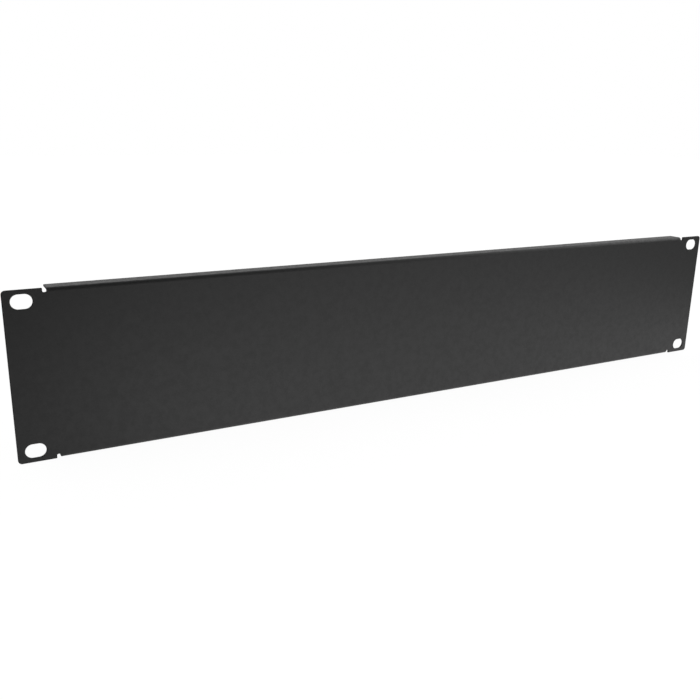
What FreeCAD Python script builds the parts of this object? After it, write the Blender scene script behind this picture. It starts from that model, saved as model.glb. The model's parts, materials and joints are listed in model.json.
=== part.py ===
# Rack blanking panel, two rack units high: one piece of steel sheet, cut, folded back
# along its top and bottom edges, and powder coated.
#
# Millimetres. +X is to the right seen from the front, +Y goes into the rack, +Z is up.
# The origin is the centre of the four screw slots, on the rear face of the sheet, the
# face that seats on the rack's rails.
import FreeCAD, Part
import math
import os
from FreeCAD import Vector

# Driving dimensions
panel_width = 482.6       # side edge to side edge
panel_height = 88.1       # bottom edge to top edge of the ears: two rack units, less a gap
panel_depth = 10.0        # front face to the rear edges of the folds
sheet = 1.2               # thickness of the sheet with its coat
ear_width = 18.55         # side edge to the nearer side of the fold relief
ear_corner = 2.0          # radius of the ears' outer corners
fold_setback = 0.1        # outer face of a fold, in from the ears' edge
bend_radius = 0.8         # inside radius of the two bends
relief_width = 1.9        # notch between an ear and the end of a fold
relief_corner = 0.7       # radius of the two corners at the bottom of that notch
relief_overrun = 0.1      # how far the notch runs on past the line where the bend starts
slot_inset_x = 8.75       # centre of a screw slot, in from the side edge
slot_inset_z = 5.95       # centre of a screw slot, in from the ear's top or bottom edge
slot_length = 10.1
slot_width = 7.3
edge_round = 0.4          # cut edges, broken in punching and rounded over by the coat

# Sizes that follow from them
half_width = panel_width / 2
half_height = panel_height / 2
front_y = -sheet
rear_y = panel_depth - sheet
relief_outer_x = half_width - ear_width
fold_end_x = relief_outer_x - relief_width
fold_z = half_height - fold_setback
outer_bend_radius = bend_radius + sheet
bend_start_z = fold_z - outer_bend_radius
relief_bottom_z = bend_start_z - relief_overrun
relief_middle_x = relief_outer_x - relief_width / 2
relief_radius = min(relief_corner, 0.45 * relief_width)
slot_x = half_width - slot_inset_x
slot_z = half_height - slot_inset_z
overcut = 5.0             # how far a cutter stands out of the sheet on each side


def arc(centre_y, centre_z, radius, start_deg, end_deg):
    """An arc in the YZ plane, from one angle to another about its centre."""
    points = []
    for degrees in (start_deg, (start_deg + end_deg) / 2, end_deg):
        turn = math.radians(degrees)
        y = centre_y + radius * math.cos(turn)
        z = centre_z + radius * math.sin(turn)
        points.append(Vector(0, y, z))
    return Part.Arc(*points).toShape()


def rounded_block(low, high, radius):
    """A block between two corners, with its four edges along Y rounded."""
    size = high - low
    block = Part.makeBox(size.x, size.y, size.z, low)
    edges = [edge for edge in block.Edges if abs(edge.tangentAt(edge.FirstParameter).y) > 0.5]
    return block.makeFillet(radius, edges)


def folded_middle():
    """The sheet between the notches' middles: a shallow channel with two bends, open to the rear."""
    runs = [arc(bend_radius, bend_start_z, outer_bend_radius, 90, 180),
            arc(bend_radius, -bend_start_z, outer_bend_radius, 180, 270),
            Part.makeLine(Vector(0, rear_y, -fold_z), Vector(0, rear_y, sheet - fold_z)),
            arc(bend_radius, -bend_start_z, bend_radius, 270, 180),
            arc(bend_radius, bend_start_z, bend_radius, 180, 90),
            Part.makeLine(Vector(0, rear_y, fold_z - sheet), Vector(0, rear_y, fold_z))]
    outline = []
    for run, following in zip(runs, runs[1:] + runs[:1]):
        outline.append(run)
        outline.append(Part.makeLine(run.Vertexes[-1].Point, following.Vertexes[0].Point))
    section = Part.Face(Part.Wire(outline))
    section.translate(Vector(-relief_middle_x, 0, 0))
    return section.extrude(Vector(2 * relief_middle_x, 0, 0))


def ears():
    """The flat ends of the sheet, outside the notches' middles, with rounded outer corners."""
    whole_front = rounded_block(Vector(-half_width, front_y, -half_height),
                                Vector(half_width, 0, half_height), ear_corner)
    middle = Part.makeBox(2 * relief_middle_x, sheet, panel_height,
                          Vector(-relief_middle_x, front_y, -half_height))
    return whole_front.cut(middle)


def relief():
    """The cutter for the notch at the top right, which also trims that end of the fold."""
    return rounded_block(Vector(fold_end_x, front_y - overcut, relief_bottom_z),
                         Vector(relief_outer_x, rear_y + overcut, half_height + overcut), relief_radius)


def screw_slot():
    """The cutter for the top right screw slot: two round ends, joined straight along X."""
    depth = sheet + 2 * overcut
    start_y = front_y - overcut
    radius = slot_width / 2
    reach = (slot_length - slot_width) / 2
    cutter = Part.makeBox(2 * reach, depth, slot_width, Vector(slot_x - reach, start_y, slot_z - radius))
    for x in (slot_x - reach, slot_x + reach):
        cutter = cutter.fuse(Part.makeCylinder(radius, depth, Vector(x, start_y, slot_z), Vector(0, 1, 0)))
    return cutter.removeSplitter()


def at_each_corner(cutter):
    """A cutter for the top right corner, with its mirror images for the other three."""
    centre = Vector(0, 0, 0)
    top = [cutter, cutter.mirror(centre, Vector(1, 0, 0))]
    bottom = [tool.mirror(centre, Vector(0, 0, 1)) for tool in top]
    return top + bottom


def cut_edges(solid):
    """The edges that the cutting left: those where two faces meet about square."""
    found = []
    for edge in solid.Edges:
        middle = edge.valueAt((edge.FirstParameter + edge.LastParameter) / 2)
        normals = []
        for face in solid.ancestorsOfType(edge, Part.Face):
            u, v = face.Surface.parameter(middle)
            normals.append(face.normalAt(u, v))
        if len(normals) == 2 and abs(normals[0].dot(normals[1])) < 0.5:
            found.append(edge)
    return found


def blanking_panel():
    """The whole panel, as one solid."""
    sharp = folded_middle().fuse(ears()).cut(at_each_corner(relief()) + at_each_corner(screw_slot()))
    sharp = sharp.removeSplitter()
    return sharp.makeFillet(edge_round, cut_edges(sharp)).Solids[0]


os.makedirs("parts", exist_ok=True)
panel = blanking_panel()
panel.exportStep("parts/blanking_panel.step")
print("valid", panel.isValid(), "faces", len(panel.Faces), "volume mm3", round(panel.Volume, 1))
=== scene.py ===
"""Rack blanking panel: one folded steel sheet in black powder coat, on a pale studio floor."""

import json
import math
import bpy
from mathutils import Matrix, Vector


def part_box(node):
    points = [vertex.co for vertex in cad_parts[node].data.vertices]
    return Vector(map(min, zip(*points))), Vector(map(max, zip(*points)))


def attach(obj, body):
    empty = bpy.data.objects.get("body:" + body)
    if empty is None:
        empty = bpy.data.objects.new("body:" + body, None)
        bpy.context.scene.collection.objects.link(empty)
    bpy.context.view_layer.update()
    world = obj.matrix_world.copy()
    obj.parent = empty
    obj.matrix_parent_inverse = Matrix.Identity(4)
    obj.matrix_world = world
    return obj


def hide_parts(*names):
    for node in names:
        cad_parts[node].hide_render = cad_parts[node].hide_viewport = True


bl_info = {
    "name": "Rack blanking panel",
    "version": (1, 0, 0),
    "blender": (4, 5, 0),
    "location": "3D View > Sidebar > Rack panel",
    "description": "Builds a folded sheet metal blanking panel for a 19 inch rack, and a studio for it",
    "category": "Add Mesh",
}

import bmesh
import bpy
from bpy.props import FloatProperty, FloatVectorProperty, IntProperty, PointerProperty
from mathutils import Euler, Matrix, Vector

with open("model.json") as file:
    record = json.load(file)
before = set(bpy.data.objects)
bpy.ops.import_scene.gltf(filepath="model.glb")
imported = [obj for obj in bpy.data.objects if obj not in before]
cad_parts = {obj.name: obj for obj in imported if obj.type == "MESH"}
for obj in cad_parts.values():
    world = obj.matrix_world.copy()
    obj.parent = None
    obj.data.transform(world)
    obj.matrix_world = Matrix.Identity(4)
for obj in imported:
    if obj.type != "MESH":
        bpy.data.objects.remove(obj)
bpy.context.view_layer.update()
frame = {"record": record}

NODE = "blanking_panel"
SLOT = "black_powder_coat"
LOW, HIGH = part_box(NODE)
MOUNTS = {mount["name"]: mount for mount in frame["record"]["mounts"]}
HOLES = MOUNTS["rack_holes"]["dims"]
MM = 0.001

# Corners nearer than this are one corner, and a bend line this near to a corner goes through it.
MERGE = 0.001 * MM
ON_LINE = 0.01 * MM

# Faces that meet at less than the first angle are one face. Edges sharper than the second are cut ones.
FLAT_ANGLE = math.radians(0.5)
CUT_ANGLE = math.radians(60)

# How far the larger faces pull the shading their way, where 50 is neutral and 100 is the most.
FLAT_FACE_WEIGHT = 100

# The noise values that the tone and the gloss run between, and how fine the two noises are.
WAVE_RANGE = (0.3, 0.7)
PEEL_WAVES = {"detail": 3.0, "fineness": 0.85}
GRAIN_WAVES = {"detail": 2.0, "fineness": 0.5}

TABLE_TONE = 0.9
TABLE_ROUGHNESS = 0.9
SHADOW_REACH = 4 * HIGH.x
WHITE = (1, 1, 1, 1)

SOFTBOX_PLACE = (1.25, -0.10, 0.64)
SOFTBOX_TARGET = (0, 0, 0)
SOFTBOX_SIZE = (1.0, 0.7)

SENSOR_WIDTH = 36
NEAR_CLIP = 0.01


def length(name, description, default):
    """A size in metres that the user can set."""
    return FloatProperty(name=name, description=description, default=default, unit="LENGTH",
                         subtype="DISTANCE", precision=5)


def angle(name, description, degrees):
    """An angle that the user can set."""
    return FloatProperty(name=name, description=description, default=math.radians(degrees), unit="ROTATION",
                         subtype="ANGLE")


class PanelSizes(bpy.types.PropertyGroup):
    """Sizes of the folded sheet."""

    width: length("Width", "Side edge to side edge", HIGH.x - LOW.x)
    height: length("Height", "Bottom edge to top edge of the ears", HIGH.z - LOW.z)
    sheet: length("Sheet", "Thickness of the sheet with its coat", -LOW.y)
    rear: length("Rear edge", "Rear face of the sheet to the rear edges of the folds", HIGH.y)
    ear_width: length("Ear width", "Side edge to the nearer side of the relief notch", 18.55 * MM)
    ear_corner: length("Ear corner", "Radius of the ears' outer corners", 2.0 * MM)
    fold_setback: length("Fold setback", "Outer face of a fold, in from the ears' edge", 0.1 * MM)
    bend_radius: length("Bend radius", "Inside radius of the two bends", 0.8 * MM)
    relief_width: length("Relief width", "Notch between an ear and the end of a fold", 1.9 * MM)
    relief_corner: length("Relief corner", "Radius of the corners at the bottom of that notch", 0.7 * MM)
    relief_overrun: length("Relief overrun", "How far the notch runs past the start of the bend", 0.1 * MM)
    hole_pitch_x: length("Hole pitch across", "Screw slots, left to right", HOLES["spacing_x_mm"] * MM)
    hole_pitch_z: length("Hole pitch up", "Screw slots, bottom to top", HOLES["spacing_y_mm"] * MM)
    slot_length: length("Slot length", "End to end of a screw slot", HOLES["slot_length_mm"] * MM)
    slot_width: length("Slot width", "Width of a screw slot", 2 * HOLES["hole_r_mm"] * MM)
    edge_round: length("Edge round", "Radius that the coat leaves on the cut edges", 0.4 * MM)
    bend_steps: IntProperty(name="Bend steps", description="Facets around each bend", default=16, min=4)
    corner_steps: IntProperty(name="Corner steps", description="Facets around each corner", default=12, min=2)
    edge_steps: IntProperty(name="Edge steps", description="Facets around each cut edge", default=4, min=1)


class CoatFinish(bpy.types.PropertyGroup):
    """The powder coat."""

    colour: FloatVectorProperty(name="Colour", description="Colour of the coat", subtype="COLOR", size=3,
                                default=(0.010, 0.010, 0.010), min=0, max=1)
    roughness: FloatProperty(name="Roughness", description="Satin finish of the coat", default=0.52,
                             min=0, max=1, subtype="FACTOR")
    ior: FloatProperty(name="IOR", description="Refraction of the coat", default=1.6, min=1, max=2)
    peel_size: length("Peel size", "Distance between the widest waves of its orange peel", 4.0 * MM)
    peel_height: length("Peel height", "Height of those waves", 0.02 * MM)
    grain_size: length("Grain size", "Distance between the grains of the powder", 0.28 * MM)
    grain_height: length("Grain height", "Height of those grains", 0.004 * MM)
    tone_spread: FloatProperty(name="Tone spread", description="How far the grains differ in tone",
                               default=0.3, min=0, max=1, subtype="FACTOR")
    gloss_spread: FloatProperty(name="Gloss spread", description="How far the waves differ in roughness",
                                default=0.065, min=0, max=0.4, subtype="FACTOR")


class StudioSettings(bpy.types.PropertyGroup):
    """Camera, lamps and floor."""

    camera_place: FloatVectorProperty(name="Camera place", description="Where the camera stands",
                                      size=3, default=(-0.2758, -0.4032, 0.1248), unit="LENGTH",
                                      subtype="TRANSLATION")
    camera_turn: FloatVectorProperty(name="Camera turn", description="Which way the camera points",
                                     size=3, subtype="EULER", unit="ROTATION",
                                     default=[math.radians(turn) for turn in (73.90, -0.924, -28.575)])
    lens: FloatProperty(name="Lens", description="Focal length in millimetres on a 36 mm sensor",
                        default=41.52)
    table_size: length("Table size", "Side of the square table", 6.0)
    # The painted pool of light: a glow on the table that the coat mirrors, not a lamp's light, and its two
    # radii.
    painted_pool_middle: FloatVectorProperty(name="Table light",
                                     description="Middle of the pool of light on the table", size=3,
                                     default=(0.075, -0.055, LOW.z), unit="LENGTH",
                                     subtype="TRANSLATION")
    pool_inner: length("Pool inner", "Radius of the full light on the table", 0.18)
    pool_outer: length("Pool outer", "Radius at which that light has faded away", 0.46)
    table_white: FloatProperty(name="Table white", description="Brightness of the table to the camera",
                               default=1.04, min=0)
    shadow_share: FloatProperty(name="Shadow share", description="How much of the shadow the table shows",
                                default=0.10, min=0, max=1, subtype="FACTOR")
    room_light: FloatProperty(name="Room light", description="Strength of the even light of the room",
                              default=0.8, min=0)
    wall_light: FloatProperty(name="Wall light",
                              description="Brightness of the white walls as the coat mirrors them",
                              default=0.87, min=0)
    dark_end: FloatVectorProperty(name="Dark end",
                                  description="Towards the middle of the dark end of the room",
                                  size=3, default=(-0.365, -0.48, 0.73), subtype="DIRECTION")
    dark_within: angle("Dark within", "Half angle of the dark end", 47)
    walls_from: angle("Walls from", "Half angle at which the white walls are reached", 86)
    side_light: FloatProperty(name="Side light", description="Power of the softbox on the right, in watts",
                              default=3.3, min=0)


def outline_face(bm, corners, steps):
    """One flat face in the plane of the sheet's front. Each corner is (x, z, radius)."""
    verts = [bm.verts.new((x, LOW.y, z)) for x, z, radius in corners]
    bm.faces.new(verts)
    for vert, (x, z, radius) in zip(verts, corners):
        if radius:
            bmesh.ops.bevel(bm, geom=[vert], offset=radius, offset_type="OFFSET", segments=steps,
                            profile=0.5, affect="VERTICES", clamp_overlap=False, material=-1)


def flat_blank(sizes, notch_bottom, blank_top):
    """The front of the sheet as it is cut, before it is bent: one quarter, then its mirror images."""
    bm = bmesh.new()
    half_width = sizes.width / 2
    half_height = sizes.height / 2
    notch_outer = half_width - sizes.ear_width
    fold_end = notch_outer - sizes.relief_width
    slot_x = sizes.hole_pitch_x / 2
    slot_z = sizes.hole_pitch_z / 2
    slot_radius = sizes.slot_width / 2
    outline_face(bm, [(0, 0, 0), (half_width, 0, 0), (half_width, half_height, sizes.ear_corner),
                      (notch_outer, half_height, 0), (notch_outer, notch_bottom, sizes.relief_corner),
                      (fold_end, notch_bottom, sizes.relief_corner), (fold_end, blank_top, 0),
                      (0, blank_top, 0)], sizes.corner_steps)
    slot_corners = [(-1, -1), (1, -1), (1, 1), (-1, 1)]
    slot_steps = 2 * sizes.corner_steps
    outline_face(bm, [(slot_x + i * sizes.slot_length / 2, slot_z + k * slot_radius, slot_radius)
                      for i, k in slot_corners], slot_steps)
    bmesh.ops.remove_doubles(bm, verts=bm.verts[:], dist=MERGE)
    bmesh.ops.delete(bm, geom=bm.faces[:], context="FACES_ONLY")
    bmesh.ops.triangle_fill(bm, use_beauty=True, use_dissolve=False, edges=bm.edges[:], normal=(0, -1, 0))
    for axis in ("X", "Z"):
        bmesh.ops.mirror(bm, geom=bm.verts[:] + bm.edges[:] + bm.faces[:], matrix=Matrix.Identity(4),
                         merge_dist=MERGE, axis=axis)
    bmesh.ops.remove_doubles(bm, verts=bm.verts[:], dist=MERGE)
    bmesh.ops.dissolve_limit(bm, angle_limit=FLAT_ANGLE, verts=bm.verts[:], edges=bm.edges[:])
    bmesh.ops.recalc_face_normals(bm, faces=bm.faces[:])
    bmesh.ops.reverse_faces(bm, faces=[face for face in bm.faces if face.normal.y > 0])
    return bm


def cut_across(bm, faces, place, direction):
    """Cut faces along the plane through a point, square to a direction. A corner that is all but
    on the plane already isn't cut beside."""
    parts = dict.fromkeys(item for face in faces for item in (face, *face.edges, *face.verts))
    bmesh.ops.bisect_plane(bm, geom=list(parts), dist=ON_LINE, plane_co=place, plane_no=direction)


def bend_folds(bm, sizes, bend_start, outer_radius, notch_middle):
    """Bend the sheet between the notches to the rear, at the top and at the bottom."""
    arc_length = outer_radius * math.pi / 2
    for side in (-1, 1):
        cut_across(bm, bm.faces, (side * notch_middle, 0, 0), (1, 0, 0))
    for step in range(sizes.bend_steps + 1):
        for side in (-1, 1):
            place = (0, 0, side * (bend_start + arc_length * step / sizes.bend_steps))
            middle = [face for face in bm.faces if abs(face.calc_center_median().x) < notch_middle]
            cut_across(bm, middle, place, (0, 0, 1))
    for vert in bm.verts:
        run = abs(vert.co.z) - bend_start
        if run > 0 and abs(vert.co.x) < notch_middle:
            turn = min(run, arc_length) / outer_radius
            radius = sizes.bend_radius - vert.co.y
            height = bend_start + radius * math.sin(turn)
            vert.co.y = sizes.bend_radius - radius * math.cos(turn) + max(run - arc_length, 0)
            vert.co.z = math.copysign(height, vert.co.z)
    bm.normal_update()


def panel_mesh(sizes):
    """The whole panel: a flat blank, with its cut edges rounded, and then bent."""
    outer_radius = sizes.bend_radius + sizes.sheet
    bend_start = sizes.height / 2 - sizes.fold_setback - outer_radius
    blank_top = bend_start + outer_radius * math.pi / 2 + sizes.rear - sizes.bend_radius
    notch_middle = sizes.width / 2 - sizes.ear_width - sizes.relief_width / 2
    bm = flat_blank(sizes, bend_start - sizes.relief_overrun, blank_top)
    bmesh.ops.solidify(bm, geom=bm.faces[:], thickness=sizes.sheet)
    cut_edges = [edge for edge in bm.edges if edge.calc_face_angle(0) > CUT_ANGLE]
    bmesh.ops.bevel(bm, geom=cut_edges, offset=sizes.edge_round, offset_type="OFFSET",
                    segments=sizes.edge_steps, profile=0.5, affect="EDGES", clamp_overlap=False, material=-1)
    bend_folds(bm, sizes, bend_start, outer_radius, notch_middle)
    for face in bm.faces:
        face.smooth = True
    mesh = bpy.data.meshes.new(NODE)
    bm.to_mesh(mesh)
    bm.free()
    return mesh


def math_node(nodes, links, operation, first, second):
    """The sum, product or the like of two values, each a number or a socket."""
    node = nodes.new("ShaderNodeMath")
    node.operation = operation
    for socket, value in zip(node.inputs, (first, second)):
        if isinstance(value, bpy.types.NodeSocket):
            links.new(value, socket)
        else:
            socket.default_value = value
    return node.outputs[0]


def fade(nodes, links, value, start, end, first, last):
    """A smooth change from one value to another, as the given value runs from start to end."""
    node = nodes.new("ShaderNodeMapRange")
    node.interpolation_type = "SMOOTHSTEP"
    for name, number in (("From Min", start), ("From Max", end), ("To Min", first), ("To Max", last)):
        node.inputs[name].default_value = number
    links.new(value, node.inputs["Value"])
    return node.outputs["Result"]


def mix(nodes, links, share, first, second):
    """The first shader, with a share of the second."""
    node = nodes.new("ShaderNodeMixShader")
    links.new(share, node.inputs["Fac"])
    links.new(first, node.inputs[1])
    links.new(second, node.inputs[2])
    return node.outputs["Shader"]


def mirror_ray(nodes, links, path):
    """Whether the ray is one that a glossy or clear surface sends on."""
    return math_node(nodes, links, "MAXIMUM", path.outputs["Is Glossy Ray"],
                     path.outputs["Is Transmission Ray"])


def waves(nodes, links, place, size, detail, fineness):
    """Random waves a size apart, with finer and finer ones over them, each set a share as strong
    as the last."""
    noise = nodes.new("ShaderNodeTexNoise")
    noise.inputs["Scale"].default_value = 1 / size
    noise.inputs["Detail"].default_value = detail
    noise.inputs["Roughness"].default_value = fineness
    links.new(place, noise.inputs["Vector"])
    return noise.outputs["Fac"]


def bump(nodes, links, height, distance, below=None):
    """The relief of a height pattern, laid on any relief below it."""
    node = nodes.new("ShaderNodeBump")
    node.inputs["Distance"].default_value = distance
    links.new(height, node.inputs["Height"])
    if below:
        links.new(below, node.inputs["Normal"])
    return node.outputs["Normal"]


def powder_coat(finish):
    """Satin black powder coat: soft orange peel under a fine grain, uneven in tone and in gloss."""
    material = bpy.data.materials.new(SLOT)
    material.use_nodes = True
    nodes, links = material.node_tree.nodes, material.node_tree.links
    shader = nodes["Principled BSDF"]
    shader.inputs["IOR"].default_value = finish.ior
    place = nodes.new("ShaderNodeTexCoord").outputs["Object"]
    peel = waves(nodes, links, place, finish.peel_size, **PEEL_WAVES)
    grain = waves(nodes, links, place, finish.grain_size, **GRAIN_WAVES)

    tone = nodes.new("ShaderNodeMix")
    tone.data_type = "RGBA"
    for name, factor in (("A", 1 - finish.tone_spread), ("B", 1 + finish.tone_spread)):
        shade = Vector(finish.colour) * factor
        socket = next(item for item in tone.inputs if item.name == name and item.type == "RGBA")
        socket.default_value = (*shade, 1)
    links.new(fade(nodes, links, grain, *WAVE_RANGE, 0, 1), tone.inputs["Factor"])
    links.new(next(item for item in tone.outputs if item.type == "RGBA"), shader.inputs["Base Color"])
    gloss = fade(nodes, links, peel, *WAVE_RANGE, finish.roughness - finish.gloss_spread,
                 finish.roughness + finish.gloss_spread)
    links.new(gloss, shader.inputs["Roughness"])
    relief = bump(nodes, links, peel, finish.peel_height)
    links.new(bump(nodes, links, grain, finish.grain_height, relief), shader.inputs["Normal"])
    return material


class RACKPANEL_OT_make_panel(bpy.types.Operator):
    """Build the folded sheet and coat it"""

    bl_idname = "rack_panel.make_panel"
    bl_label = "Make panel"

    def execute(self, context):
        mesh = panel_mesh(context.scene.panel_sizes)
        mesh.materials.append(powder_coat(context.scene.coat_finish))
        panel = bpy.data.objects.new("folded_sheet", mesh)
        context.scene.collection.objects.link(panel)
        weights = panel.modifiers.new("Flat faces stay flat", "WEIGHTED_NORMAL")
        weights.weight = FLAT_FACE_WEIGHT
        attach(panel, "root")
        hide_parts(NODE)
        return {"FINISHED"}


def soft_lamp(scene, name, place, target, size, power):
    """A large soft lamp that faces a point."""
    lamp = bpy.data.lights.new(name, "AREA")
    lamp.shape = "RECTANGLE"
    lamp.size, lamp.size_y = size
    lamp.energy = power
    rig = bpy.data.objects.new(name, lamp)
    rig.location = place
    rig.rotation_euler = (Vector(target) - Vector(place)).to_track_quat("-Z", "Y").to_euler()
    scene.collection.objects.link(rig)


def white_table(studio):
    """Matt white, with a painted pool of light: the table glows, fading out from a point, where the coat
    mirrors it.
    To the camera it is plain white, but for a share of the panel's shadow."""
    material = bpy.data.materials.new("white_table")
    material.use_nodes = True
    material.cycles.emission_sampling = "NONE"
    nodes, links = material.node_tree.nodes, material.node_tree.links
    matt = nodes["Principled BSDF"]
    matt.inputs["Base Color"].default_value = (TABLE_TONE, TABLE_TONE, TABLE_TONE, 1)
    matt.inputs["Roughness"].default_value = TABLE_ROUGHNESS
    matt.inputs["Specular IOR Level"].default_value = 0
    path = nodes.new("ShaderNodeLightPath")
    place = nodes.new("ShaderNodeTexCoord").outputs["Object"]
    # Painted pool of light: the table glows for mirrored rays, brightest at its middle and fading outwards.
    from_pool = nodes.new("ShaderNodeVectorMath")
    from_pool.operation = "DISTANCE"
    from_pool.inputs[1].default_value = studio.painted_pool_middle
    links.new(place, from_pool.inputs[0])
    pool = fade(nodes, links, from_pool.outputs["Value"], studio.pool_inner, studio.pool_outer, 1, 0)
    plain = math_node(nodes, links, "MULTIPLY", path.outputs["Is Camera Ray"], studio.table_white)
    glow = nodes.new("ShaderNodeEmission")
    links.new(math_node(nodes, links, "MAXIMUM", plain, pool), glow.inputs["Strength"])
    from_panel = nodes.new("ShaderNodeVectorMath")
    from_panel.operation = "LENGTH"
    links.new(place, from_panel.inputs[0])
    share = fade(nodes, links, from_panel.outputs["Value"], HIGH.x, SHADOW_REACH,
                 1 - studio.shadow_share, 1)
    mirrored = mirror_ray(nodes, links, path)
    seen = math_node(nodes, links, "MAXIMUM", path.outputs["Is Camera Ray"], mirrored)
    shown = math_node(nodes, links, "MULTIPLY", seen, share)
    surface = mix(nodes, links, shown, matt.outputs["BSDF"], glow.outputs["Emission"])
    links.new(surface, nodes["Material Output"].inputs["Surface"])
    return material


def table(studio):
    """The white table that the panel stands on."""
    bm = bmesh.new()
    bmesh.ops.create_grid(bm, x_segments=1, y_segments=1, size=studio.table_size / 2)
    bmesh.ops.translate(bm, verts=bm.verts[:], vec=(0, 0, LOW.z))
    mesh = bpy.data.meshes.new("table")
    bm.to_mesh(mesh)
    bm.free()
    mesh.materials.append(white_table(studio))
    return bpy.data.objects.new("table", mesh)


def room(scene, studio):
    """Even light all round. The coat mirrors white walls that fall away into the dark end of the
    room, where the camera stands, and the camera sees plain white."""
    world = bpy.data.worlds.new("studio")
    scene.world = world
    world.use_nodes = True
    world.cycles.sampling_method = "NONE"
    nodes, links = world.node_tree.nodes, world.node_tree.links
    path = nodes.new("ShaderNodeLightPath")
    facing = nodes.new("ShaderNodeVectorMath")
    facing.operation = "DOT_PRODUCT"
    facing.inputs[1].default_value = Vector(studio.dark_end).normalized()
    links.new(nodes.new("ShaderNodeTexCoord").outputs["Generated"], facing.inputs[0])
    walls = nodes.new("ShaderNodeBackground")
    links.new(fade(nodes, links, facing.outputs["Value"], math.cos(studio.walls_from),
                   math.cos(studio.dark_within), studio.wall_light, 0), walls.inputs["Strength"])
    white = nodes.new("ShaderNodeBackground")
    even = nodes["Background"]
    for light in (walls, white, even):
        light.inputs["Color"].default_value = WHITE
    even.inputs["Strength"].default_value = studio.room_light
    mirrored = mirror_ray(nodes, links, path)
    around = mix(nodes, links, mirrored, even.outputs["Background"], walls.outputs["Background"])
    shown = mix(nodes, links, path.outputs["Is Camera Ray"], around, white.outputs["Background"])
    links.new(shown, nodes["World Output"].inputs["Surface"])


class RACKPANEL_OT_make_studio(bpy.types.Operator):
    """Set the floor, the lamps and the camera around the panel"""

    bl_idname = "rack_panel.make_studio"
    bl_label = "Make studio"

    def execute(self, context):
        scene = context.scene
        studio = scene.studio_settings
        floor = table(studio)
        scene.collection.objects.link(floor)
        room(scene, studio)
        soft_lamp(scene, "side_softbox", SOFTBOX_PLACE, SOFTBOX_TARGET, SOFTBOX_SIZE, studio.side_light)

        lens = bpy.data.cameras.new("studio_camera")
        lens.lens = studio.lens
        lens.sensor_width = SENSOR_WIDTH
        lens.clip_start = NEAR_CLIP
        camera = bpy.data.objects.new("studio_camera", lens)
        camera.location = studio.camera_place
        camera.rotation_euler = Euler(studio.camera_turn)
        scene.collection.objects.link(camera)
        scene.camera = camera
        scene.view_settings.view_transform = "Standard"
        return {"FINISHED"}


class RACKPANEL_PT_sidebar(bpy.types.Panel):
    """The panel's sizes and finish, and the buttons that build it"""

    bl_label = "Rack blanking panel"
    bl_idname = "RACKPANEL_PT_sidebar"
    bl_space_type = "VIEW_3D"
    bl_region_type = "UI"
    bl_category = "Rack panel"

    def draw(self, context):
        groups = (context.scene.panel_sizes, context.scene.coat_finish, context.scene.studio_settings)
        for group in groups:
            box = self.layout.box()
            for name in group.__annotations__:
                box.prop(group, name)
        for operator in (RACKPANEL_OT_make_panel, RACKPANEL_OT_make_studio):
            self.layout.operator(operator.bl_idname)


CLASSES = (PanelSizes, CoatFinish, StudioSettings, RACKPANEL_OT_make_panel, RACKPANEL_OT_make_studio,
           RACKPANEL_PT_sidebar)


def register():
    for cls in CLASSES:
        bpy.utils.register_class(cls)
    bpy.types.Scene.panel_sizes = PointerProperty(type=PanelSizes)
    bpy.types.Scene.coat_finish = PointerProperty(type=CoatFinish)
    bpy.types.Scene.studio_settings = PointerProperty(type=StudioSettings)


def unregister():
    del bpy.types.Scene.studio_settings
    del bpy.types.Scene.coat_finish
    del bpy.types.Scene.panel_sizes
    for cls in reversed(CLASSES):
        bpy.utils.unregister_class(cls)


def main():
    register()
    bpy.ops.rack_panel.make_panel()
    bpy.ops.rack_panel.make_studio()


if __name__ == "__main__":
    main()
